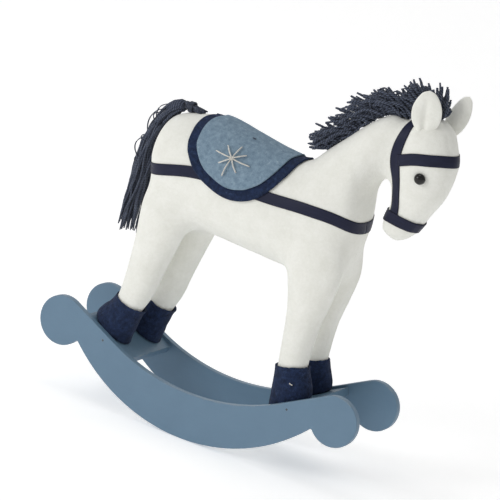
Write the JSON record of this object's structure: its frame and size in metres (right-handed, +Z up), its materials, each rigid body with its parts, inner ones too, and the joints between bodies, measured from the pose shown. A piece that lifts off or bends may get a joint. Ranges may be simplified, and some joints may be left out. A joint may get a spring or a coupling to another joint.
{
  "type": "rocking horse",
  "caption": "Stuffed cloth horse with a yarn mane and tail, felt saddle and ribbon tack, standing on painted board rockers.",
  "frame": {"origin": "midway between the rockers, at the lowest point of their running arcs, on the floor", "axes": "+X towards the horse's nose, +Y to the horse's left, +Z up"},
  "size_m": [0.3401, 0.0842, 0.3594],
  "materials": {
    "painted_board": "satin blue-grey paint",
    "white_cloth": "brushed cotton",
    "fibre_filling": "loose polyester fibre",
    "navy_felt": "wool felt",
    "blue_felt": "mottled wool felt",
    "navy_ribbon": "woven satin",
    "navy_yarn": "twisted cotton yarn",
    "white_thread": "stranded embroidery thread",
    "black_bead": "polished",
    "bare_steel": "bright wire",
    "bare_wood": "planed beech"
  },
  "bodies": {
    "horse": {"rocker_right": "painted_board", "rocker_left": "painted_board", "foot_board_front": "painted_board", "foot_board_rear": "painted_board", "rocker_nails": "bare_steel", "leg_screws": "bare_steel", "leg_dowel_front_right": "bare_wood", "leg_dowel_front_left": "bare_wood", "leg_dowel_rear_right": "bare_wood", "leg_dowel_rear_left": "bare_wood", "stuffing": "fibre_filling", "belly_gusset": "white_cloth", "head_gusset": "white_cloth", "cover_right": "white_cloth", "cover_left": "white_cloth", "hoof_front_right": "navy_felt", "hoof_front_left": "navy_felt", "hoof_rear_right": "navy_felt", "hoof_rear_left": "navy_felt", "body_ribbon": "navy_ribbon", "cheek_ribbon": "navy_ribbon", "browband": "navy_ribbon", "noseband": "navy_ribbon", "saddle_pad": "navy_felt", "saddle_flap": "blue_felt", "star_right": "white_thread", "star_left": "white_thread", "ear_right": "white_cloth", "ear_left": "white_cloth", "eye_right": "black_bead", "eye_left": "black_bead", "mane": "navy_yarn", "tail_stub": "navy_yarn", "tail_binding": "navy_yarn"},
    "tail": {"tail": "navy_yarn"}
  },
  "joints": [
    {"name": "tail_swing", "type": "hinge", "parent": "horse", "child": "tail", "pos_m": [-0.08446, 0, 0.27398], "axis": [0, 1, 0], "range_deg": [0, 75]}
  ]
}
